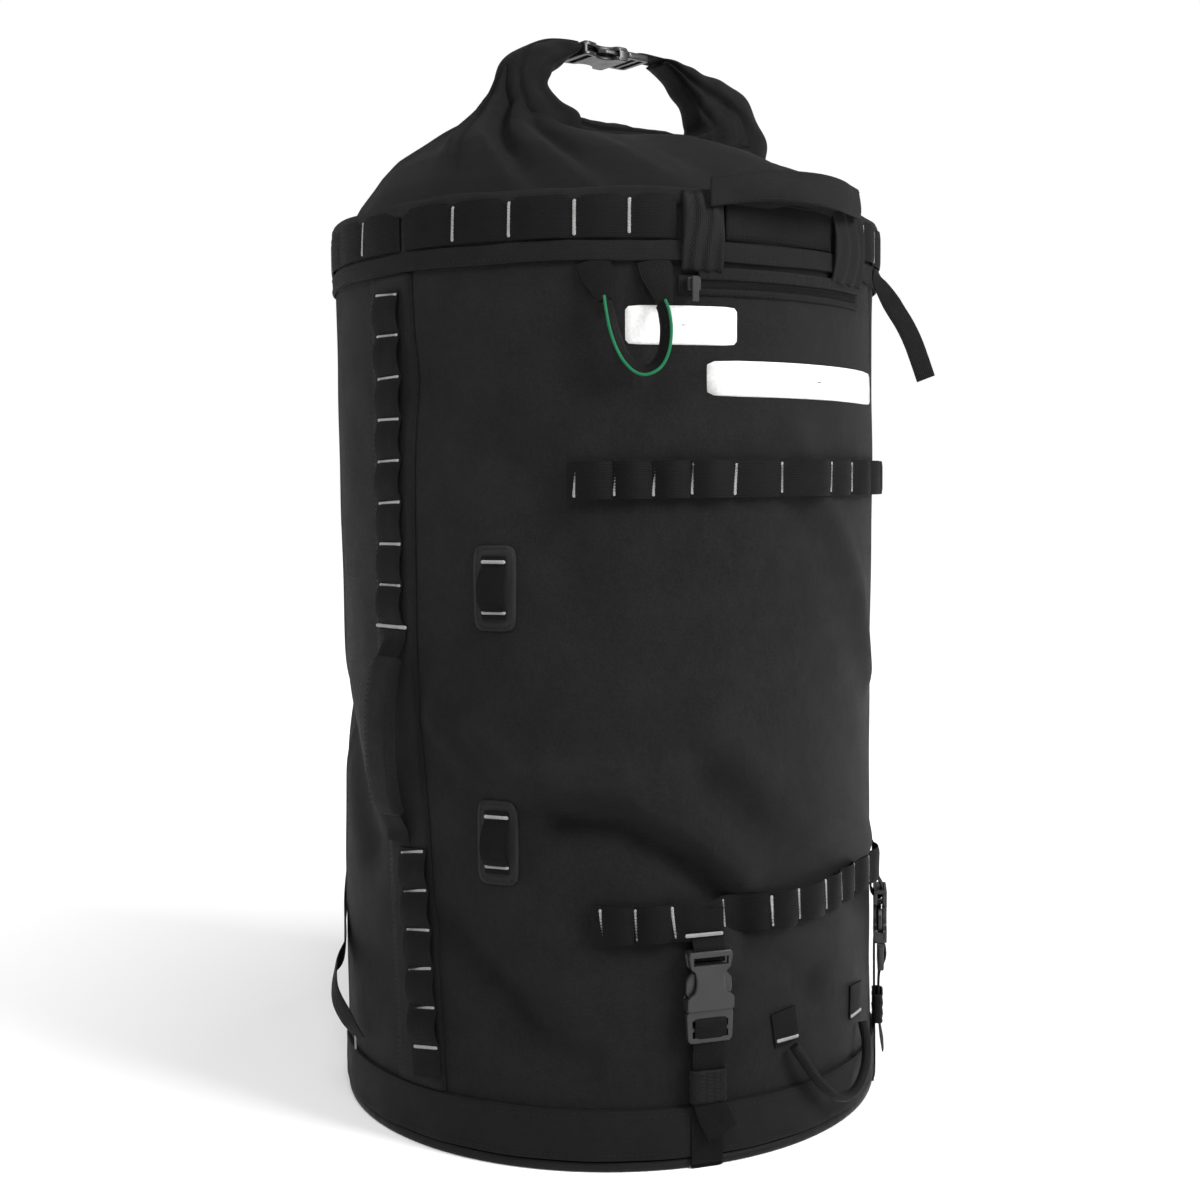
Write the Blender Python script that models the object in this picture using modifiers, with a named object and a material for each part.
# Rope storage bag: a tall round bucket bag for climbing and rigging ropes.
# The bag stands on its base on the XY plane, with its axis on Z and its zip pocket facing -Y.
# A place on the bag is given as (angle, radius, height): the angle is in degrees, 0 at the
# front (-Y) and positive towards +X; the radius is from the bag's axis. Lengths are in metres.

import bmesh
import bpy
import math

# ---- driving dimensions -------------------------------------------------------------------
RADIUS = 0.190            # outside of the fabric cylinder
RIM_TOP = 0.600           # top edge of the fabric cylinder
WALL = 0.0020             # lined fabric wall
GAP = 0.0004              # clearance that keeps neighbouring pieces apart
WEB = 0.0014              # thickness of every webbing
WEB_WIDE = 0.025          # width of the daisy chain webbing
WEB_NARROW = 0.021        # width of the compression strap webbing
LOOP_RISE = 0.0042        # how far a daisy chain loop stands off its backing
ROUND_STEPS = 128         # steps round the bag
ARC_STEP = 360.0 / ROUND_STEPS  # degrees between two points of a band that lies on the bag
WELD = 0.00001            # points closer than this are joined

BASE_TOP = 0.0072         # top of the base panel
BAND_TOP = 0.040          # top of the webbing round the base
HEM_LOW = 0.5635          # lower edge of the rim band
HEM_TOP = 0.5752
RIM_BAND_TOP = 0.606

SKIN = RADIUS + GAP       # radius at which pieces lie on the fabric
CHAIN_R = RADIUS + 0.0022  # inside of a daisy chain at a bartack

BUCKLE_WIDE = 0.031       # side-release buckle of the compression straps and the closure
BUCKLE_THICK = 0.0093
FEMALE_LONG = 0.0377
MALE_LONG = 0.0201

FRONT_STRAP = -20.5       # angles of the two compression straps
RIGHT_STRAP = 43.0
BUCKLE_TOP = 0.1403

# ---- scene --------------------------------------------------------------------------------
for old in list(bpy.data.objects):
    bpy.data.objects.remove(old, do_unlink=True)

parts = bpy.data.collections.new("rope_storage_bag")
cutters = bpy.data.collections.new("cutters")
for group in (parts, cutters):
    bpy.context.scene.collection.children.link(group)
cutters.hide_render = True


def material(name, colour, roughness, metallic=0.0):
    """A plain Principled material."""
    made = bpy.data.materials.new(name)
    made.use_nodes = True
    shader = made.node_tree.nodes["Principled BSDF"]
    shader.inputs["Base Color"].default_value = (*colour, 1.0)
    shader.inputs["Roughness"].default_value = roughness
    shader.inputs["Metallic"].default_value = metallic
    return made


FABRIC = (0.018, 0.018, 0.019)
WEBBING = (0.014, 0.014, 0.015)
PLASTIC = (0.022, 0.022, 0.024)
STIFFENER = (0.30, 0.30, 0.31)
EDGE_GREEN = (0.015, 0.42, 0.17)
ZIP_METAL = (0.30, 0.30, 0.31)


def finish(made, name, colour, roughness, metallic=0.0, smooth=True):
    """Name an object, put it in the part's collection and give it its own material."""
    made.name = name
    for owner in list(made.users_collection):
        owner.objects.unlink(made)
    parts.objects.link(made)
    made.data.materials.append(material(name + "_finish", colour, roughness, metallic))
    if smooth and made.type == "MESH":
        for face in made.data.polygons:
            face.use_smooth = True
    return made


def place(angle, radius, height):
    """The point of the bag at an angle, a radius and a height."""
    turn = math.radians(angle)
    return (radius * math.sin(turn), -radius * math.cos(turn), height)


def frange(first, last, step):
    """Evenly spaced values from first to last, no more than step apart."""
    count = max(1, math.ceil(abs(last - first) / step - 1e-6))
    return [first + (last - first) * i / count for i in range(count + 1)]


# ---- shape makers -------------------------------------------------------------------------
def turned(name, profile, colour, roughness):
    """A closed (radius, height) outline turned round the bag's axis with a Screw modifier."""
    mesh = bpy.data.meshes.new(name)
    build = bmesh.new()
    corners = [build.verts.new((radius, 0.0, height)) for radius, height in profile]
    for first, second in zip(corners, corners[1:] + corners[:1]):
        build.edges.new((first, second))
    build.to_mesh(mesh)
    build.free()
    made = bpy.data.objects.new(name, mesh)
    parts.objects.link(made)
    screw = made.modifiers.new("turn", "SCREW")
    screw.axis = "Z"
    screw.angle = math.tau
    screw.steps = ROUND_STEPS
    screw.render_steps = ROUND_STEPS
    screw.use_merge_vertices = True
    screw.merge_threshold = WELD
    screw.use_smooth_shade = True
    screw.use_normal_calculate = True
    screw.use_normal_flip = True
    return finish(made, name, colour, roughness)


def hoop(name, inner, outer, low, high, colour, roughness):
    """A plain band round the whole bag."""
    profile = [(inner, low), (outer, low), (outer, high), (inner, high)]
    return turned(name, profile, colour, roughness)


def grid_object(name, columns, rows, rule, around=False, capped=False):
    """A grid of faces laid out by rule(column, row); around joins its side edges into a tube.

    rule gives the point for a column from 0 to columns and a row from 0 to rows. capped closes
    the ends of the tube.
    """
    build = bmesh.new()
    bmesh.ops.create_grid(build, x_segments=columns, y_segments=rows, size=0.5)
    for vert in build.verts:
        column = round((vert.co.x + 0.5) * columns)
        row = round((vert.co.y + 0.5) * rows)
        vert.co = rule(column, row)
    if around:
        bmesh.ops.remove_doubles(build, verts=build.verts, dist=WELD)
    if capped:
        bmesh.ops.holes_fill(build, edges=build.edges)
        bmesh.ops.recalc_face_normals(build, faces=build.faces)
    mesh = bpy.data.meshes.new(name)
    build.to_mesh(mesh)
    build.free()
    made = bpy.data.objects.new(name, mesh)
    parts.objects.link(made)
    return made


def mapped(name, columns, rows, rule, thickness, colour, roughness, around=False):
    """A grid laid out by rule(column, row), then given its thickness with Solidify."""
    made = grid_object(name, columns, rows, rule, around)
    shell = made.modifiers.new("thickness", "SOLIDIFY")
    shell.thickness = thickness
    shell.offset = 1.0
    return finish(made, name, colour, roughness)


def band(name, route, width, colour=WEBBING, roughness=0.75, thickness=WEB, rows=2):
    """Webbing or tape that follows a route of (angle, radius, height) on the bag.

    The route is the middle of the inner face, and the width lies in the bag's surface.
    """
    def rule(column, row):
        angle, radius, height = route[column]
        before = route[max(column - 1, 0)]
        after = route[min(column + 1, len(route) - 1)]
        along = math.radians(after[0] - before[0]) * RADIUS
        up = after[2] - before[2]
        length = math.hypot(along, up) or 1.0
        side = (row / rows - 0.5) * width
        turn = math.degrees(-up / length * side / RADIUS)
        return place(angle + turn, radius, height + along / length * side)
    return mapped(name, len(route) - 1, rows, rule, thickness, colour, roughness)


def flat_on_bag(name, left, right, low, high, radius, thickness, colour, roughness=0.7):
    """A rectangle of cloth that lies on the bag between two angles and two heights."""
    angles = frange(left, right, ARC_STEP)

    def rule(column, row):
        return place(angles[column], radius, (low, high)[row])
    return mapped(name, len(angles) - 1, 1, rule, thickness, colour, roughness)


def chain_route(start, end, tacks, radius=CHAIN_R, rise=LOOP_RISE, steps=6):
    """A daisy chain's route from start to end, both (angle, height).

    tacks are fractions of the way at which the webbing is sewn down; it stands off between.
    """
    route = []
    for first, second in zip(tacks, tacks[1:]):
        for step in range(steps):
            part = step / steps
            far = first + (second - first) * part
            bulge = rise * math.sin(math.pi * part)
            route.append((start[0] + (end[0] - start[0]) * far, radius + bulge,
                          start[1] + (end[1] - start[1]) * far))
    route.append((start[0] + (end[0] - start[0]) * tacks[-1], radius,
                  start[1] + (end[1] - start[1]) * tacks[-1]))
    return route


def upright(name, points, width, angle, colour=WEBBING, roughness=0.75, thickness=WEB,
            cyclic=False):
    """Webbing in an upright plane through the axis: points are (radius, height).

    The width is across that plane, and the thickness lies on both sides of the points.
    """
    curve = bpy.data.curves.new(name, "CURVE")
    curve.dimensions = "2D"
    curve.fill_mode = "NONE"
    curve.extrude = width / 2
    line = curve.splines.new("POLY")
    line.points.add(len(points) - 1)
    for spot, (radius, height) in zip(line.points, points):
        spot.co = (radius, height, 0.0, 1.0)
    line.use_cyclic_u = cyclic
    made = bpy.data.objects.new(name, curve)
    made.rotation_euler = (math.radians(90), 0.0, math.radians(angle - 90))
    parts.objects.link(made)
    shell = made.modifiers.new("thickness", "SOLIDIFY")
    shell.thickness = thickness
    shell.offset = 0.0
    return finish(made, name, colour, roughness)


def level(name, points, width, height, colour=WEBBING, roughness=0.75, thickness=WEB,
          cyclic=False):
    """Webbing on edge: points are (x, y) in a level plane, and the width is upright."""
    curve = bpy.data.curves.new(name, "CURVE")
    curve.dimensions = "2D"
    curve.fill_mode = "NONE"
    curve.extrude = width / 2
    line = curve.splines.new("POLY")
    line.points.add(len(points) - 1)
    for spot, (x, y) in zip(line.points, points):
        spot.co = (x, y, 0.0, 1.0)
    line.use_cyclic_u = cyclic
    made = bpy.data.objects.new(name, curve)
    made.location = (0.0, 0.0, height)
    parts.objects.link(made)
    shell = made.modifiers.new("thickness", "SOLIDIFY")
    shell.thickness = thickness
    shell.offset = 0.0
    return finish(made, name, colour, roughness)


def smooth_line(points, steps=5):
    """Points on a smooth curve through the given points, of any dimension."""
    if len(points) < 3:
        return [tuple(p) for p in points]
    line = []
    padded = [points[0]] + list(points) + [points[-1]]
    for before, first, second, after in zip(padded, padded[1:], padded[2:], padded[3:]):
        for step in range(steps):
            t = step / steps
            line.append(tuple(
                0.5 * (2 * b + (c - a) * t + (2 * a - 5 * b + 4 * c - d) * t * t
                       + (3 * b - a - 3 * c + d) * t ** 3)
                for a, b, c, d in zip(before, first, second, after)))
    line.append(tuple(points[-1]))
    return line


def pipe(name, points, thickness, colour, roughness):
    """A round cord through points in space."""
    curve = bpy.data.curves.new(name, "CURVE")
    curve.dimensions = "3D"
    curve.bevel_depth = thickness / 2
    curve.bevel_resolution = 2
    curve.use_fill_caps = True
    line = curve.splines.new("POLY")
    line.points.add(len(points) - 1)
    for spot, point in zip(line.points, points):
        spot.co = (*point, 1.0)
    made = bpy.data.objects.new(name, curve)
    parts.objects.link(made)
    return finish(made, name, colour, roughness)


def block(name, size, centre, turn=(0.0, 0.0, 0.0), group=parts):
    """A box of the given size, with its scale applied."""
    bpy.ops.mesh.primitive_cube_add(size=1.0, location=centre, rotation=turn)
    made = bpy.context.object
    made.name = name
    for vert in made.data.vertices:
        vert.co = (vert.co.x * size[0], vert.co.y * size[1], vert.co.z * size[2])
    for owner in list(made.users_collection):
        owner.objects.unlink(made)
    group.objects.link(made)
    return made


def rounded(made, amount, segments=2):
    """Round an object's edges."""
    bevel = made.modifiers.new("rounding", "BEVEL")
    bevel.width = amount
    bevel.segments = segments
    bevel.limit_method = "ANGLE"
    bevel.harden_normals = False


def cut(made, size, centre, turn=(0.0, 0.0, 0.0)):
    """Cut a box out of an object; centre and turn are in the world."""
    tool = block(made.name + "_cutter", size, centre, turn, cutters)
    tool.hide_render = True
    tool.display_type = "WIRE"
    knife = made.modifiers.new("cut", "BOOLEAN")
    knife.operation = "DIFFERENCE"
    knife.solver = "EXACT"
    knife.object = tool


# ---- the fabric bucket --------------------------------------------------------------------
def make_bucket():
    """Fabric cylinder, base, base webbing, rim band, rim hoop and hem."""
    turned("bag_body", [(RADIUS - WALL, BASE_TOP + GAP), (RADIUS, BASE_TOP + GAP),
                        (RADIUS, RIM_TOP), (RADIUS - WALL, RIM_TOP)], FABRIC, 0.62)
    hoop("base_band", SKIN, SKIN + 0.0020, BASE_TOP + GAP, BAND_TOP, WEBBING, 0.75)
    hoop("rim_band", SKIN, SKIN + 0.0012, HEM_LOW, RIM_BAND_TOP, FABRIC, 0.66)
    hoop("rim_hem", SKIN + 0.0016, SKIN + 0.0028, HEM_LOW, HEM_TOP, WEBBING, 0.75)

    bpy.ops.mesh.primitive_torus_add(major_radius=RADIUS - WALL - 0.0032, minor_radius=0.0026,
                                     major_segments=ROUND_STEPS // 2, minor_segments=10,
                                     location=(0.0, 0.0, RIM_TOP - 0.004))
    finish(bpy.context.object, "rim_hoop", STIFFENER, 0.5)

    # The base is a stiff padded disc with two shallow grooves for the straps under it.
    bpy.ops.mesh.primitive_cylinder_add(vertices=ROUND_STEPS, radius=RADIUS + 0.0015,
                                        depth=BASE_TOP, location=(0.0, 0.0, BASE_TOP / 2))
    base = finish(bpy.context.object, "base_panel", FABRIC, 0.55, smooth=False)
    rounded(base, 0.0025, 2)
    for angle in (FRONT_STRAP, RIGHT_STRAP):
        centre = place(angle, RADIUS, 0.0)
        cut(base, (WEB_NARROW + 0.0012, 0.180, 0.0046), centre,
            (0.0, 0.0, math.radians(angle)))


# ---- rim webbing --------------------------------------------------------------------------
RIM_WEB_Z = 0.5890        # middle of the rim webbing
RIM_WEB_R = SKIN + 0.0016


def even(count):
    """Fractions for a chain whose bartacks are evenly spaced."""
    return [i / count for i in range(count + 1)]


def make_rim_webbing():
    """The looped webbing round the rim and the plain panel behind the grab handle."""
    height = RIM_WEB_Z
    runs = {
        "rim_webbing_left": (-79.3, -25.6, [0.0, 0.22, 0.433, 0.657, 0.84, 1.0]),
        "rim_webbing_right": (23.2, 79.3, [0.0, 0.17, 0.36, 0.56, 0.78, 1.0]),
        "rim_webbing_back": (80.7, 279.3, even(16)),
    }
    for name, (left, right, tacks) in runs.items():
        route = chain_route((left, height), (right, height), tacks, RIM_WEB_R, 0.0034)
        band(name, route, WEB_WIDE, rows=1)
    flat_on_bag("rim_webbing_front", -16.0, 9.6, height - WEB_WIDE / 2, height + WEB_WIDE / 2,
                RIM_WEB_R, WEB, WEBBING)


TAIL_ROUTE = [(33.2, 0.1972, 0.5800), (33.2, 0.1990, 0.5700), (33.4, 0.2040, 0.5590),
              (33.6, 0.2105, 0.5480), (33.8, 0.2170, 0.5370), (34.0, 0.2225, 0.5260),
              (34.2, 0.2270, 0.5150), (34.4, 0.2305, 0.5060), (34.6, 0.2330, 0.4980)]


def make_rim_tail():
    """The loose webbing end that hangs from the rim at the right."""
    points = [(radius, height) for _, radius, height in smooth_line(TAIL_ROUTE, 2)]
    upright("rim_tail", points[1:], 0.019, 33.8)


# ---- front grab handle --------------------------------------------------------------------
GRAB_ROUTE = [(-19.0, 0.1972), (-15.5, 0.2000), (-9.5, 0.2070), (-1.0, 0.2110), (7.0, 0.2105),
              (13.0, 0.2060), (17.0, 0.2022), (18.2, 0.1995), (16.6, 0.1974)]
GRAB_Z = 0.6125           # middle of the grab handle


def make_grab_handle():
    """Two keepers over the rim webbing, and the wide fabric handle between them."""
    for name, left, right in (("keeper_left", -24.6, -16.9), ("keeper_right", 10.4, 22.2)):
        flat_on_bag(name, left, right, 0.5575, 0.6035, SKIN + 0.0034, WEB, WEBBING)
    line = smooth_line([place(angle, radius, 0.0)[:2] for angle, radius in GRAB_ROUTE], 4)
    level("grab_handle", line, 0.022, GRAB_Z, FABRIC, 0.66, 0.0022)


# ---- daisy chains -------------------------------------------------------------------------
SIDE_UPPER = ((-85.0, 0.5520), (-85.0, 0.3360))
SIDE_LOWER = ((-80.3, 0.1960), (-76.6, 0.0480))
MID_CHAIN = ((-46.0, 0.4310), (46.0, 0.4330))
LOW_CHAIN = ((-42.2, 0.1570), (46.0, 0.1600))
MID_TACKS = [0.0, 0.025, 0.098, 0.176, 0.253, 0.346, 0.459, 0.60, 0.70, 0.80, 0.90, 1.0]
LOW_TACKS = [0.0, 0.096, 0.175, 0.212, 0.30, 0.408, 0.487, 0.59, 0.68, 0.77, 0.87, 1.0]


def make_chains():
    """The daisy chains across the front and down the side, and the side's backing strip."""
    heights = frange(BAND_TOP + 0.0008, HEM_LOW - 0.0008, 0.05)

    def backing(column, row):
        height = heights[row]
        lean = max(0.0, 0.300 - height) / 0.260 * 6.0
        return place(-91.5 + lean + 13.2 * column / 5, SKIN, height)
    mapped("side_backing", 5, len(heights) - 1, backing, 0.0008, FABRIC, 0.66)
    band("side_chain_upper", chain_route(*SIDE_UPPER, even(8)), WEB_WIDE)
    band("side_chain_lower", chain_route(*SIDE_LOWER, even(5)), WEB_WIDE)
    band("middle_chain", chain_route(*MID_CHAIN, MID_TACKS), 0.0230)
    band("lower_chain", chain_route(*LOW_CHAIN, LOW_TACKS), 0.0235)


HANDLE_ANGLE = -84.0
HANDLE_UPPER = [(0.1922, 0.3345), (0.1932, 0.3300), (0.1975, 0.3220), (0.2020, 0.3140),
                (0.2044, 0.3060)]
HANDLE_GRIP = [(0.2046, 0.3054), (0.2072, 0.2900), (0.2082, 0.2680), (0.2072, 0.2460),
               (0.2046, 0.2306)]
HANDLE_LOWER = [(0.2044, 0.2300), (0.2020, 0.2220), (0.1975, 0.2140), (0.1932, 0.2060),
                (0.1922, 0.2015)]


def make_side_handle():
    """The carry handle on the side: two webbing ends and the padded grip between them."""
    upright("side_handle_upper", smooth_line(HANDLE_UPPER, 2), 0.022, HANDLE_ANGLE)
    upright("side_handle_lower", smooth_line(HANDLE_LOWER, 2), 0.022, HANDLE_ANGLE)
    upright("side_handle_grip", smooth_line(HANDLE_GRIP, 3), 0.030, HANDLE_ANGLE, FABRIC, 0.66,
            0.0090)


# ---- patches ------------------------------------------------------------------------------
def make_patches():
    """Two stitched patches with a webbing loop each."""
    for name, middle in (("upper", 0.3652), ("lower", 0.2062)):
        flat_on_bag("patch_" + name, -64.3, -56.0, middle - 0.0262, middle + 0.0262, SKIN, 0.0010,
                    FABRIC)
        route = chain_route((-60.1, middle + 0.0195), (-60.1, middle - 0.0195),
                            [0.0, 0.11, 0.89, 1.0], SKIN + 0.0014, 0.0085, 5)
        band("patch_loop_" + name, route, 0.0175)


# ---- zip pocket ---------------------------------------------------------------------------
ZIP_Z = 0.5490
ZIP_LEFT = -25.0
ZIP_RIGHT = 22.5


def make_zip():
    """Zip tape, welt above it, slider and pull."""
    flat_on_bag("zip_tape", ZIP_LEFT, ZIP_RIGHT, ZIP_Z - 0.0055, ZIP_Z + 0.0055, SKIN, 0.0010,
                WEBBING)
    flat_on_bag("zip_welt", ZIP_LEFT + 3.5, ZIP_RIGHT - 0.8, ZIP_Z + 0.0046, HEM_LOW - 0.0066,
                SKIN + 0.0014, 0.0012, FABRIC)
    angle = ZIP_LEFT + 2.4
    turn = (0.0, 0.0, math.radians(angle))
    slider = block("zip_slider", (0.0085, 0.0036, 0.0080), place(angle, SKIN + 0.0036, ZIP_Z), turn)
    finish(slider, "zip_slider", ZIP_METAL, 0.4, 0.9)
    rounded(slider, 0.0009)
    pull = block("zip_pull", (0.0042, 0.0016, 0.0150),
                 place(angle, SKIN + 0.0068, ZIP_Z - 0.0030), turn)
    finish(pull, "zip_pull", ZIP_METAL, 0.4, 0.9)
    rounded(pull, 0.0005)


# ---- edge loop ----------------------------------------------------------------------------
def make_edge_loop():
    """The green-edged gear loop that hangs from two webbing tabs."""
    for name, angle, low in (("edge_loop_tab_left", -40.7, 0.5480),
                             ("edge_loop_tab_right", -29.4, 0.5420)):
        flat_on_bag(name, angle - 3.1, angle + 3.1, low, HEM_LOW - GAP, SKIN + 0.0010, WEB,
                    WEBBING)
    spots = [(-0.0195, 0.0440), (-0.0175, 0.0330), (-0.0120, 0.0170), (-0.0050, 0.0055),
             (0.0035, 0.0010), (0.0115, 0.0035), (0.0170, 0.0120), (0.0190, 0.0240),
             (0.0180, 0.0360)]
    curve = bpy.data.curves.new("edge_loop", "CURVE")
    curve.dimensions = "2D"
    curve.fill_mode = "NONE"
    curve.extrude = 0.0055
    line = curve.splines.new("POLY")
    points = smooth_line(spots, 4)
    line.points.add(len(points) - 1)
    for spot, (across, up) in zip(line.points, points):
        spot.co = (across, up, 0.0, 1.0)
    made = bpy.data.objects.new("edge_loop", curve)
    made.location = place(-34.5, SKIN + 0.0092, 0.4965)
    made.rotation_euler = (math.radians(90), 0.0, math.radians(-34.5))
    parts.objects.link(made)
    shell = made.modifiers.new("thickness", "SOLIDIFY")
    shell.thickness = 0.0022
    shell.offset = 0.0
    finish(made, "edge_loop", EDGE_GREEN, 0.5)


# ---- buckles and compression straps -------------------------------------------------------
def make_female(name, origin, turn, across, along, out):
    """Female half: a pocket for the prongs, two side windows and a bar for the webbing.

    origin is the middle of the bar end on the inner face. across, along and out are the
    buckle's unit directions: along runs towards the male half.
    """
    def spot(a, b, c):
        return tuple(origin[i] + across[i] * a + along[i] * b + out[i] * c for i in range(3))
    made = block(name, (BUCKLE_WIDE, BUCKLE_THICK, FEMALE_LONG),
                 spot(0.0, FEMALE_LONG / 2, BUCKLE_THICK / 2), turn)
    finish(made, name, PLASTIC, 0.35, smooth=False)
    rounded(made, 0.0022, 2)
    cut(made, (0.0234, 0.0200, 0.0044), spot(0.0, 0.0052, 0.0), turn)
    cut(made, (0.0250, 0.0050, 0.0290), spot(0.0, FEMALE_LONG - 0.0115, BUCKLE_THICK / 2), turn)
    for side in (-1.0, 1.0):
        cut(made, (0.0100, 0.0062, 0.0150),
            spot(side * BUCKLE_WIDE / 2, FEMALE_LONG - 0.0180, BUCKLE_THICK / 2), turn)
    return made


def make_male(name, origin, turn, across, along, out):
    """Male half: ladder bars for the webbing and two prongs inside the female half.

    origin is the middle of the shoulder on the inner face, and along runs away from the
    female half.
    """
    def spot(a, b, c):
        return tuple(origin[i] + across[i] * a + along[i] * b + out[i] * c for i in range(3))
    thick, low = 0.0044, 0.0029
    hole_wide = BUCKLE_WIDE - 0.0076
    made = block(name, (BUCKLE_WIDE, thick, MALE_LONG),
                 spot(0.0, MALE_LONG / 2, low + thick / 2), turn)
    finish(made, name, PLASTIC, 0.35, smooth=False)
    prong_long = 0.0195
    for side in (-1.0, 0.0, 1.0):
        prong = block(name + "_prong", (0.0038 if side else 0.0030, 0.0034, prong_long + 0.004),
                      spot(side * 0.0097, 0.002 - prong_long / 2, BUCKLE_THICK / 2), turn, cutters)
        prong.hide_render = True
        prong.display_type = "WIRE"
        join = made.modifiers.new("prong", "BOOLEAN")
        join.operation = "UNION"
        join.solver = "EXACT"
        join.object = prong
    for step in (0.0075, 0.0145):
        cut(made, (hole_wide, 0.0200, 0.0038), spot(0.0, step, 0.0), turn)
    return made


def make_strap(name, angle):
    """One compression strap with its buckle, from the lower chain to under the base."""
    turn_z = math.radians(angle)
    across = (math.cos(turn_z), math.sin(turn_z), 0.0)
    out = (math.sin(turn_z), -math.cos(turn_z), 0.0)
    down = (0.0, 0.0, -1.0)
    turn = (0.0, 0.0, turn_z)
    inner = 0.1919
    make_female(name + "_buckle_female", place(angle, inner, BUCKLE_TOP), turn, across, down, out)
    make_male(name + "_buckle_male", place(angle, inner, BUCKLE_TOP - FEMALE_LONG - GAP), turn,
              across, down, out)
    upper = smooth_line([(0.1911, 0.1660), (0.1911, 0.1500), (0.1911, 0.1420)], 2)
    upper += [(0.1911, 0.1352)]
    upright(name + "_strap_upper", upper, WEB_NARROW, angle)
    lower = [(0.1936, 0.1005), (0.1936, 0.0400), (0.1936, 0.0100), (0.1936, 0.0046),
             (0.1930, 0.0022), (0.1912, 0.0011), (0.1880, 0.0010), (0.1060, 0.0010)]
    upright(name + "_strap_lower", lower, WEB_NARROW, angle)
    tail = [(0.1954, 0.0800), (0.1954, 0.0450), (0.1956, 0.0340), (0.1966, 0.0225)]
    upright(name + "_tail", tail, WEB_NARROW, angle)
    half = WEB_NARROW / 2 + 0.0018
    ring = [(-half, 0.19145), (half, 0.19145), (half, 0.19700), (-half, 0.19700)]
    points = [(across[0] * a + out[0] * r, across[1] * a + out[1] * r) for a, r in ring]
    level(name + "_keeper", points, 0.0205, 0.0538, thickness=0.0010, cyclic=True)


# ---- haul loop ----------------------------------------------------------------------------
HAUL_ROUTE = [(-1.8, 0.1960, 0.0680), (0.0, 0.1990, 0.0580), (3.0, 0.2020, 0.0430),
              (7.2, 0.2035, 0.0300), (11.6, 0.2040, 0.0255), (15.8, 0.2040, 0.0290),
              (19.2, 0.2030, 0.0395), (21.4, 0.2000, 0.0520), (22.4, 0.1960, 0.0635)]


def make_haul_loop():
    """The cord loop at the foot of the front, and its two sewn tabs."""
    for name, angle, low, high in (("haul_tab_left", -2.0, 0.0690, 0.0910),
                                   ("haul_tab_right", 22.0, 0.0660, 0.0890)):
        flat_on_bag(name, angle - 3.4, angle + 3.4, low, high, SKIN, WEB, WEBBING)
    pipe("haul_loop", [place(*spot) for spot in smooth_line(HAUL_ROUTE, 4)], 0.0068,
         WEBBING, 0.7)


# ---- shoulder straps ----------------------------------------------------------------------
PAD_ANGLE = 22.0          # angle between each shoulder pad and the middle of the back
# The drawing webbing: degrees round from its pad, radius and height. It stands off low down.
SHOULDER_WEB = [(0.0, 0.2045, 0.2150), (7.0, 0.2000, 0.1960), (22.0, 0.1950, 0.1600),
                (36.0, 0.1950, 0.1270), (46.0, 0.1962, 0.1030), (50.5, 0.2010, 0.0910),
                (54.0, 0.2040, 0.0790), (56.7, 0.2005, 0.0660)]


def make_shoulder_straps():
    """Two padded shoulder straps on the back, and the webbing that draws them down."""
    for name, side in (("left", -1.0), ("right", 1.0)):
        angle = 180.0 - side * PAD_ANGLE
        pad = [(0.1975, 0.5540), (0.2020, 0.5400), (0.2090, 0.5000), (0.2130, 0.4400),
               (0.2130, 0.3700), (0.2100, 0.3000), (0.2060, 0.2600)]
        upright("shoulder_pad_" + name, smooth_line(pad, 2), 0.062, angle, FABRIC, 0.66, 0.0085)
        lock = block("strap_lock_" + name, (0.0300, 0.0060, 0.0260),
                     place(angle, 0.2055, 0.2380), (0.0, 0.0, math.radians(angle)))
        finish(lock, "strap_lock_" + name, PLASTIC, 0.35, smooth=False)
        rounded(lock, 0.0012)
        end = 180.0 - side * 80.0
        spots = [(angle - side * turned_by, radius, height)
                 for turned_by, radius, height in SHOULDER_WEB]
        route = smooth_line(spots + [(end, 0.1950, 0.0545)], 3)
        band("shoulder_web_" + name, route, 0.022)


# ---- roll-top closure ---------------------------------------------------------------------
COLLAR_LOW = RIM_TOP + 0.0004
MOUTH_Z = 0.6640          # height at which the collar meets the rolled mouth


def make_collar():
    """Fabric collar that closes from the rim's circle to the flat mouth."""
    columns = 72
    rows = 8

    def rule(column, row):
        turn = math.tau * (column % columns) / columns
        rise = row / rows
        ease = rise ** 1.25
        half_long = (RADIUS - 0.0055) * (1 - rise) + 0.148 * rise
        half_wide = (RADIUS - 0.0055) * (1 - ease) + 0.0090 * ease
        centre = 0.012 * rise
        height = COLLAR_LOW + (MOUTH_Z - COLLAR_LOW) * math.sin(rise * math.pi / 2) ** 1.1
        return (centre + half_long * math.cos(turn), half_wide * math.sin(turn), height)
    mapped("collar", columns, rows, rule, 0.0016, FABRIC, 0.64, around=True)


def flat_tube(name, spine, colour, roughness):
    """A flattened rolled form along a spine of (x, z, half width across Y, half height)."""
    sides = 14

    def rule(column, row):
        x, z, half_y, half_n = spine[row]
        before = spine[max(row - 1, 0)]
        after = spine[min(row + 1, len(spine) - 1)]
        dx, dz = after[0] - before[0], after[1] - before[1]
        length = math.hypot(dx, dz) or 1.0
        turn = math.tau * (column % sides) / sides
        side = half_y * math.cos(turn)
        normal = half_n * math.sin(turn)
        return (x - dz / length * normal, side, z + dx / length * normal)
    made = grid_object(name, sides, len(spine) - 1, rule, around=True, capped=True)
    return finish(made, name, colour, roughness)


TOP_Z = 0.7290            # inner face of the closure buckle
TOP_BUCKLE_X = -0.0270
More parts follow.
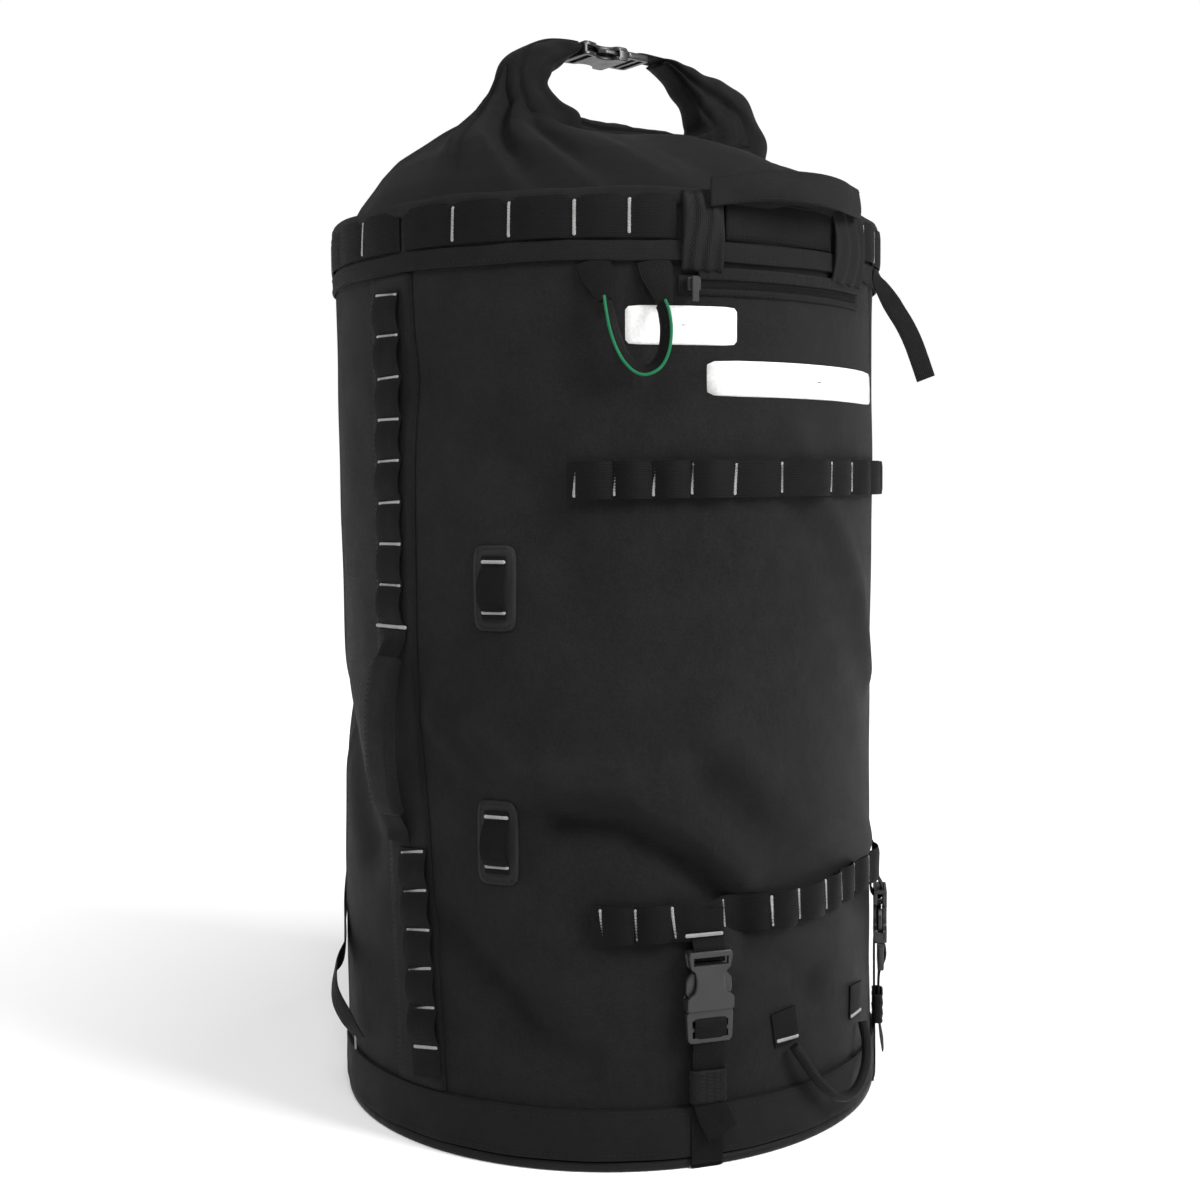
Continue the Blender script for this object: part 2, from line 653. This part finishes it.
# The rolled mouth from its left end to its right one: (x, z, half width across Y, half height).
MOUTH_SPINE = [(-0.0285, 0.7350, 0.0125, 0.0040), (-0.0420, 0.7315, 0.0140, 0.0075),
               (-0.0580, 0.7215, 0.0150, 0.0100), (-0.0710, 0.7070, 0.0165, 0.0110),
               (-0.0750, 0.6920, 0.0170, 0.0105), (-0.0650, 0.6810, 0.0165, 0.0090),
               (-0.0450, 0.6775, 0.0150, 0.0090), (0.0200, 0.6780, 0.0140, 0.0090),
               (0.0850, 0.6790, 0.0150, 0.0090), (0.1180, 0.6815, 0.0170, 0.0105),
               (0.1390, 0.6890, 0.0185, 0.0125), (0.1420, 0.7010, 0.0185, 0.0140),
               (0.1270, 0.7120, 0.0170, 0.0145), (0.1030, 0.7195, 0.0160, 0.0115),
               (0.0820, 0.7260, 0.0145, 0.0072), (0.0660, 0.7305, 0.0135, 0.0036),
               (0.0560, 0.7322, 0.0130, 0.0025)]


def make_closure():
    """The rolled mouth with its bent-up ends, and the buckle that joins them as a handle."""
    flat_tube("rolled_mouth", smooth_line(MOUTH_SPINE, 2), FABRIC, 0.64)

    # The buckle lies flat, with its length along X and its face up.
    turn = (math.radians(90), 0.0, math.radians(90))
    across = (0.0, 1.0, 0.0)
    out = (0.0, 0.0, 1.0)
    along = (1.0, 0.0, 0.0)
    make_female("top_buckle_female", (TOP_BUCKLE_X, 0.0, TOP_Z), turn, across, along, out)
    make_male("top_buckle_male", (TOP_BUCKLE_X + FEMALE_LONG + GAP, 0.0, TOP_Z), turn, across,
              along, out)
    points = [(0.0240, -0.0085), (0.0300, -0.0085), (0.0400, -0.0086), (0.0600, -0.0092)]
    curve_points = [(x, TOP_Z - y) for x, y in points]
    upright("top_strap", curve_points, WEB_NARROW, 90.0)


make_bucket()
make_rim_webbing()
make_rim_tail()
make_grab_handle()
make_chains()
make_side_handle()
make_patches()
make_zip()
make_edge_loop()
make_strap("front", FRONT_STRAP)
make_strap("right", RIGHT_STRAP)
make_haul_loop()
make_shoulder_straps()
make_collar()
make_closure()
